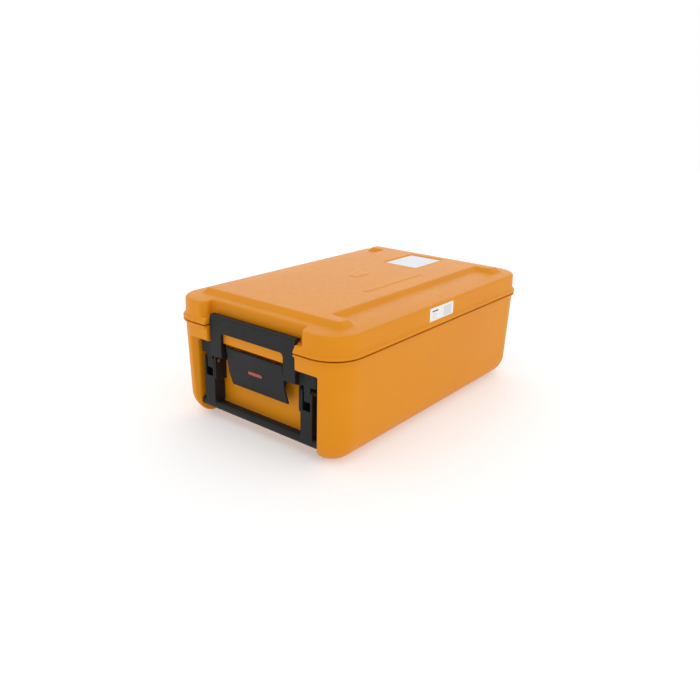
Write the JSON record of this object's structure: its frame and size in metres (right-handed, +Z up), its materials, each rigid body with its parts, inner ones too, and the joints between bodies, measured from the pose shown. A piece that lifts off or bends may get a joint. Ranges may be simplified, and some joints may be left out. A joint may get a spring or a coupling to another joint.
{
  "type": "insulated food carrier",
  "caption": "Top-loading insulated food carrier: double-walled foam-filled tub, lift-off lid with raised rim, drop handles and over-centre hook latches at the ends.",
  "frame": {"origin": "middle of the flat underside, at the height of the surface the carrier stands on", "axes": "+X across the width, towards the side with the label; +Y along the length, towards the back end; +Z up"},
  "size_m": [0.407, 0.645, 0.2457],
  "materials": {
    "shell": "rotomoulded polyethylene, fine satin texture",
    "liner": "rotomoulded polyethylene, smooth",
    "foam": "rigid closed-cell foam, sealed inside",
    "seal": "soft silicone gasket",
    "label": "printed film label",
    "black_nylon": "glass-filled nylon, fine grain",
    "steel": "stainless, turned",
    "dark_steel": "blackened steel",
    "mark": "plain inlay"
  },
  "bodies": {
    "tub": {"body_shell": "shell", "body_liner": "liner", "body_foam": "foam", "front_bracket_left": "black_nylon", "front_bracket_right": "black_nylon", "front_bracket_screws": "steel", "front_handle_pins": "steel", "front_lever_axle": "dark_steel", "back_bracket_left": "black_nylon", "back_bracket_right": "black_nylon", "back_bracket_screws": "steel", "back_handle_pins": "steel", "back_lever_axle": "dark_steel"},
    "lid": {"lid_shell": "shell", "lid_liner": "liner", "lid_foam": "foam", "lid_seal": "seal", "top_label": "label", "side_label": "label"},
    "front_handle": {"front_handle": "black_nylon"},
    "front_lever": {"front_lever": "black_nylon", "front_lever_mark": "mark", "front_hook_pins": "dark_steel"},
    "front_hook": {"front_hook": "black_nylon"},
    "back_handle": {"back_handle": "black_nylon"},
    "back_lever": {"back_lever": "black_nylon", "back_lever_mark": "mark", "back_hook_pins": "dark_steel"},
    "back_hook": {"back_hook": "black_nylon"}
  },
  "joints": [
    {"name": "lid_lift", "type": "slide", "parent": "tub", "child": "lid", "axis": [0, 0, 1], "range_m": [0, 0.24]},
    {"name": "front_handle_swing", "type": "hinge", "parent": "tub", "child": "front_handle", "pos_m": [0, -0.296, 0.12], "axis": [-1, 0, 0], "range_deg": [0, 90]},
    {"name": "front_lever_swing", "type": "hinge", "parent": "tub", "child": "front_lever", "pos_m": [0, -0.2975, 0.1475], "axis": [-1, 0, 0], "range_deg": [0, 110]},
    {"name": "front_hook_swing", "type": "hinge", "parent": "front_lever", "child": "front_hook", "pos_m": [0, -0.2935, 0.1335], "axis": [-1, 0, 0], "range_deg": [-137.5, 0]},
    {"name": "back_handle_swing", "type": "hinge", "parent": "tub", "child": "back_handle", "pos_m": [0, 0.296, 0.12], "axis": [1, 0, 0], "range_deg": [0, 90]},
    {"name": "back_lever_swing", "type": "hinge", "parent": "tub", "child": "back_lever", "pos_m": [0, 0.2975, 0.1475], "axis": [1, 0, 0], "range_deg": [0, 110]},
    {"name": "back_hook_swing", "type": "hinge", "parent": "back_lever", "child": "back_hook", "pos_m": [0, 0.2935, 0.1335], "axis": [1, 0, 0], "range_deg": [-137.5, 0]}
  ],
  "couplings": [
    {"joint": "front_hook_swing", "follows": "front_lever_swing", "ratio": -1.25},
    {"joint": "back_hook_swing", "follows": "back_lever_swing", "ratio": -1.25}
  ]
}
